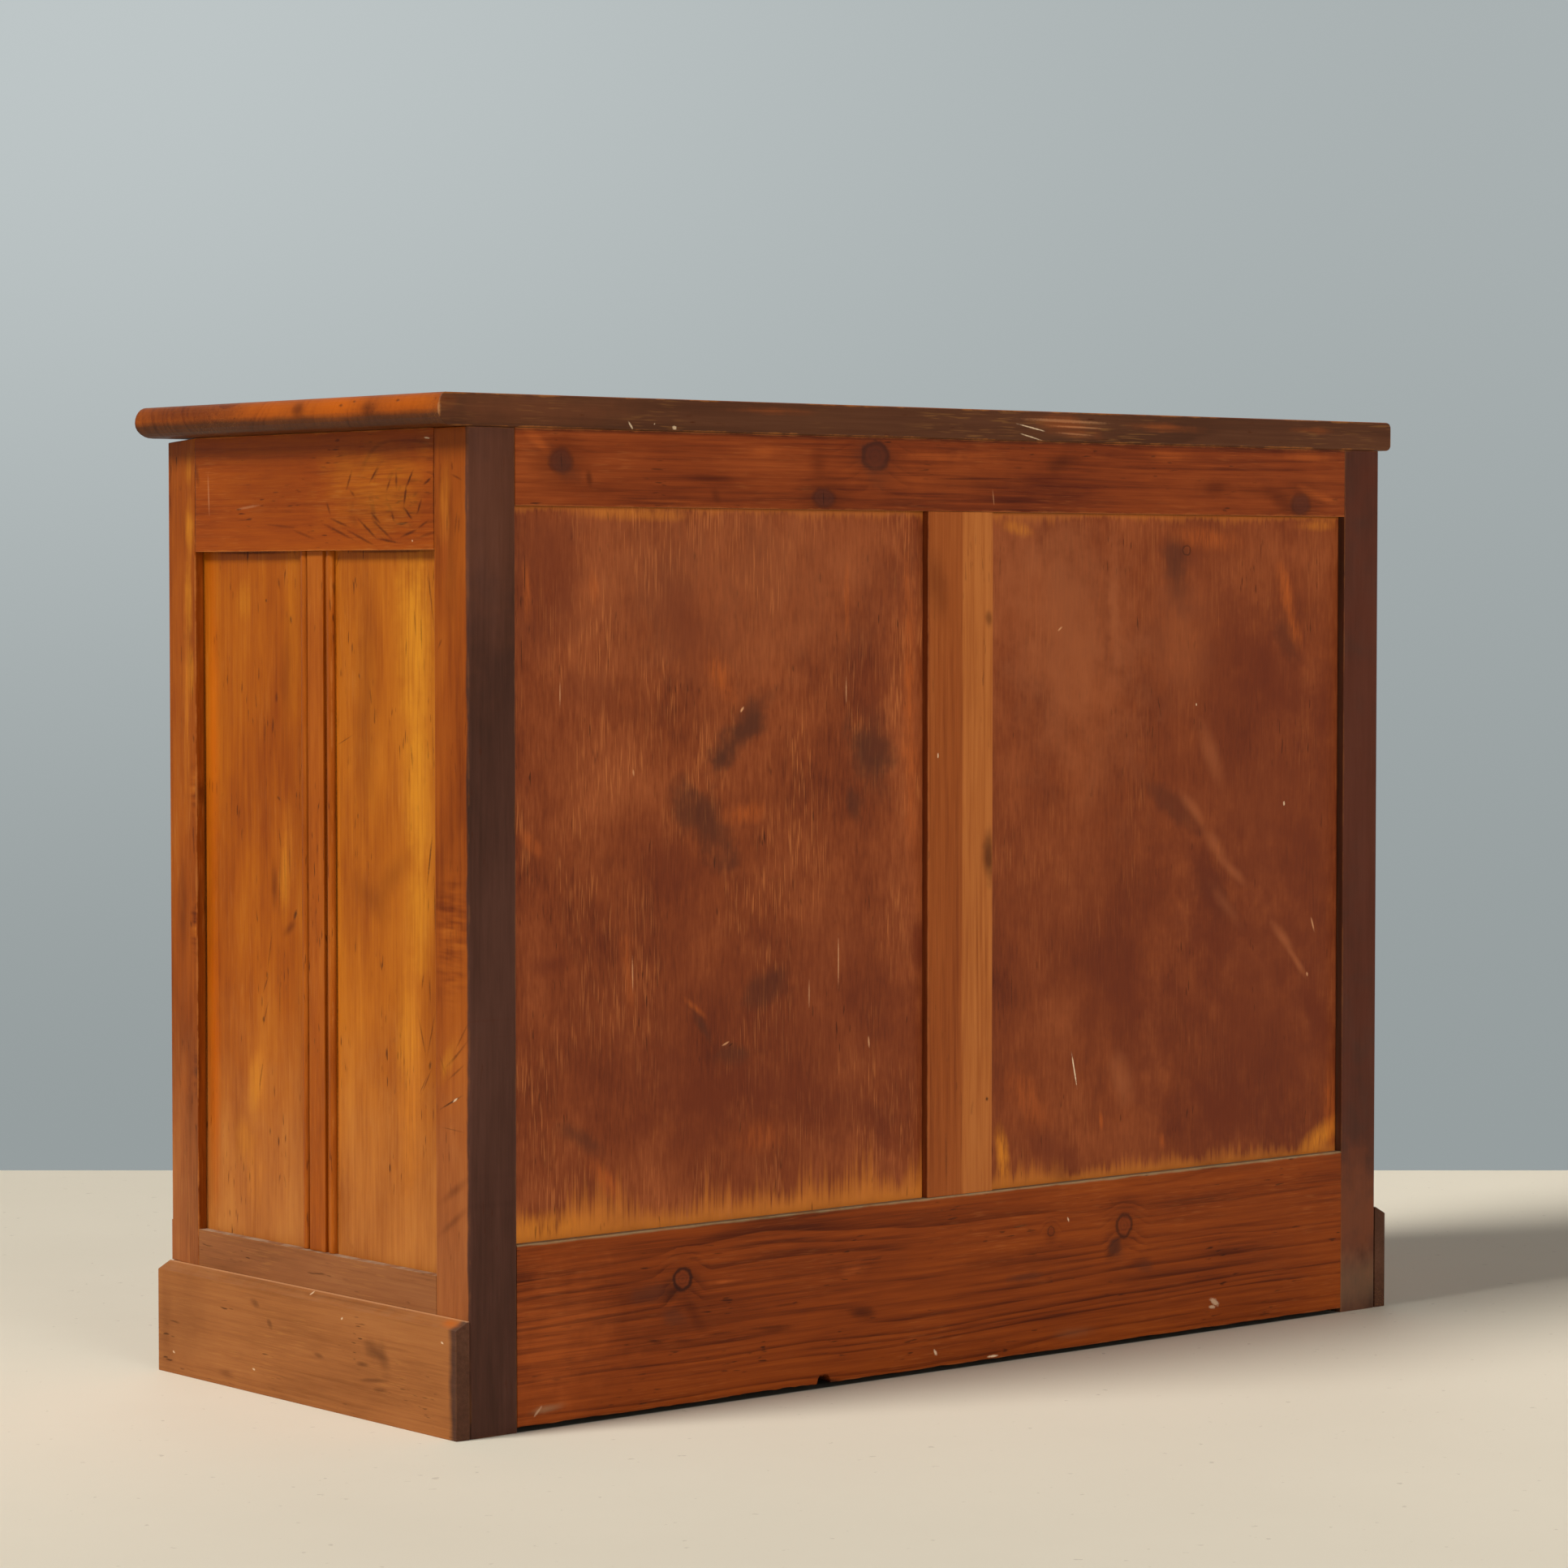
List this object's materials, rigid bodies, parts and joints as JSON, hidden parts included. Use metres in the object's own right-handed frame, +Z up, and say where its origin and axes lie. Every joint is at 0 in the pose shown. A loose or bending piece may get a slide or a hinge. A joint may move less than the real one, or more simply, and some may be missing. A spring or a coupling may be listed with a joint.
{
  "type": "tambour cabinet",
  "caption": "Low wooden cabinet with frame-and-panel sides and back on a bevelled plinth; a slatted tambour front lifts on its bottom bar and stores over and behind the shelved inside.",
  "frame": {"origin": "middle of the overall plan outline, on the floor", "axes": "+Z up; +X along the width, to the right as seen facing the tambour; +Y towards the back, so the tambour faces -Y"},
  "size_m": [1.249, 0.511, 0.95],
  "materials": {
    "stained_fir": "stained and varnished fir",
    "honey_fir": "honey-stained and varnished fir",
    "dark_stain": "dark-stained fir",
    "stained_plywood": "reddish-brown stained plywood",
    "plain_fir": "plain varnished fir",
    "canvas": "unbleached canvas"
  },
  "bodies": {
    "carcass": {"top": "stained_fir", "back_top_rail": "stained_fir", "back_bottom_rail": "stained_fir", "back_muntin": "stained_fir", "front_stile_right": "honey_fir", "front_stile_left": "honey_fir", "side_top_rail_right": "honey_fir", "side_top_rail_left": "honey_fir", "side_bottom_rail_right": "honey_fir", "side_bottom_rail_left": "honey_fir", "side_muntin_right": "honey_fir", "side_muntin_left": "honey_fir", "side_panel_front_right": "honey_fir", "side_panel_front_left": "honey_fir", "side_panel_rear_right": "honey_fir", "side_panel_rear_left": "honey_fir", "track_cheek_right": "honey_fir", "track_cheek_left": "honey_fir", "plinth_right": "honey_fir", "plinth_left": "honey_fir", "plinth_front": "honey_fir", "head_rail": "honey_fir", "sill": "honey_fir", "rear_post_right": "dark_stain", "rear_post_left": "dark_stain", "back_panel_right": "stained_plywood", "back_panel_left": "stained_plywood", "bottom_board": "plain_fir", "soffit": "plain_fir", "false_back": "plain_fir", "shelf": "plain_fir", "shelf_bearer_right": "plain_fir", "shelf_bearer_left": "plain_fir"},
    "tambour": {"lift_bar": "honey_fir", "lift_knob_right": "honey_fir", "lift_knob_left": "honey_fir", "slat_01": "honey_fir", "slat_02": "honey_fir", "slat_03": "honey_fir", "slat_04": "honey_fir", "slat_05": "honey_fir", "slat_06": "honey_fir", "slat_07": "honey_fir", "slat_08": "honey_fir", "slat_09": "honey_fir", "slat_10": "honey_fir", "slat_11": "honey_fir", "slat_12": "honey_fir", "slat_13": "honey_fir", "slat_14": "honey_fir", "slat_15": "honey_fir", "slat_16": "honey_fir", "slat_17": "honey_fir", "slat_18": "honey_fir", "slat_19": "honey_fir", "slat_20": "honey_fir", "slat_21": "honey_fir", "slat_22": "honey_fir", "tambour_canvas": "canvas"}
  },
  "joints": [
    {"name": "tambour_lift", "type": "slide", "parent": "carcass", "child": "tambour", "axis": [0, 0, 1], "range_m": [0, 0.618], "deforming": ["slat_01", "slat_02", "slat_03", "slat_04", "slat_05", "slat_06", "slat_07", "slat_08", "slat_09", "slat_10", "slat_11", "slat_12", "slat_13", "slat_14", "slat_15", "slat_16", "slat_17", "slat_18", "slat_19", "slat_20", "slat_21", "slat_22", "tambour_canvas"]}
  ]
}
